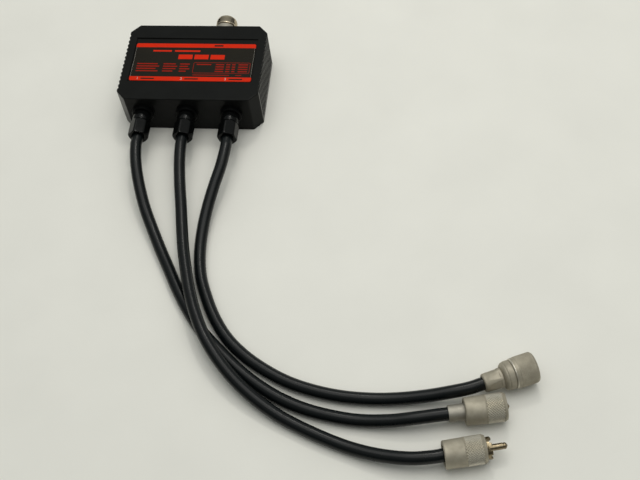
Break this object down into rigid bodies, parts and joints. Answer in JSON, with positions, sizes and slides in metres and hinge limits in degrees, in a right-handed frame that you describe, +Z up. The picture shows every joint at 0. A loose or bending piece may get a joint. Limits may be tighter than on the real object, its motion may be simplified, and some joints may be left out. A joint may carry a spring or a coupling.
{
  "type": "triplexer",
  "caption": "Black antenna filter box with a threaded socket at the back and fixed coaxial leads at the front that end in screw-ring plugs and an N plug.",
  "frame": {"origin": "centre of the case's underside, on the table", "axes": "+X to the right seen from the leads, +Y from the lead wall to the antenna socket, +Z up"},
  "size_m": [0.298, 0.3447, 0.033],
  "materials": {
    "case": "satin black moulding",
    "base": "satin black moulding",
    "black_screw": "black zinc",
    "label": "gloss film with red stripes",
    "bright_nickel": "bright nickel plate",
    "satin_nickel": "satin nickel plate",
    "white_insulator": "white fluoropolymer",
    "resin": "moulded resin",
    "gold_contact": "gold plate",
    "gland": "gloss black nylon",
    "rubber": "soft black rubber",
    "gasket": "red silicone",
    "jacket": "semi-gloss black jacket",
    "clip_brass": "plain brass",
    "spring": "spring steel",
    "board": "green board lacquer",
    "tin": "tinned sheet",
    "copper": "enamelled copper",
    "disc": "dipped ceramic"
  },
  "bodies": {
    "unit": {"case_shell": "case", "base_plate": "base", "base_screws": "black_screw", "label_plate": "label", "socket_body": "bright_nickel", "socket_insulator": "white_insulator", "socket_contact": "gold_contact", "socket_washer": "bright_nickel", "socket_nut": "bright_nickel", "gland_body_left": "gland", "gland_body_middle": "gland", "gland_body_right": "gland", "gland_nut_left": "gland", "gland_nut_middle": "gland", "gland_nut_right": "gland", "gland_seals": "rubber", "gland_locknuts": "gland", "cable_left": "jacket", "cable_middle": "jacket", "cable_right": "jacket", "core_left": "white_insulator", "core_middle": "white_insulator", "core_right": "white_insulator", "braid_clips": "clip_brass", "plug_body_left": "bright_nickel", "plug_insulator_left": "resin", "plug_pin_left": "bright_nickel", "plug_body_middle": "bright_nickel", "plug_insulator_middle": "resin", "plug_pin_middle": "bright_nickel", "n_sleeve": "satin_nickel", "n_body": "bright_nickel", "n_snap_ring": "spring", "n_gasket": "gasket", "n_cable_seal": "rubber", "n_braid_clamp": "clip_brass", "n_insulator": "white_insulator", "n_pin": "gold_contact", "filter_board": "board", "board_screws": "bright_nickel", "screen_left": "tin", "screen_right": "tin", "coils_left": "copper", "coils_middle": "copper", "coils_right": "copper", "capacitors_left": "disc", "capacitors_middle": "disc", "capacitors_right": "disc", "antenna_lead": "copper"},
    "left_ring": {"plug_ring_left": "satin_nickel"},
    "middle_ring": {"plug_ring_middle": "satin_nickel"},
    "n_nut": {"n_coupling_nut": "satin_nickel"}
  },
  "joints": [
    {"name": "left_ring_slide", "type": "slide", "parent": "unit", "child": "left_ring", "axis": [0.9823, 0.1874, 0], "range_m": [-0.0109, 0]},
    {"name": "middle_ring_slide", "type": "slide", "parent": "unit", "child": "middle_ring", "axis": [0.9763, 0.2164, 0], "range_m": [0, 0.0109]},
    {"name": "n_nut_turn", "type": "hinge", "parent": "unit", "child": "n_nut", "pos_m": [0.22897, -0.22861, 0.0098], "axis": [0.9239, 0.3827, 0], "continuous": true}
  ]
}
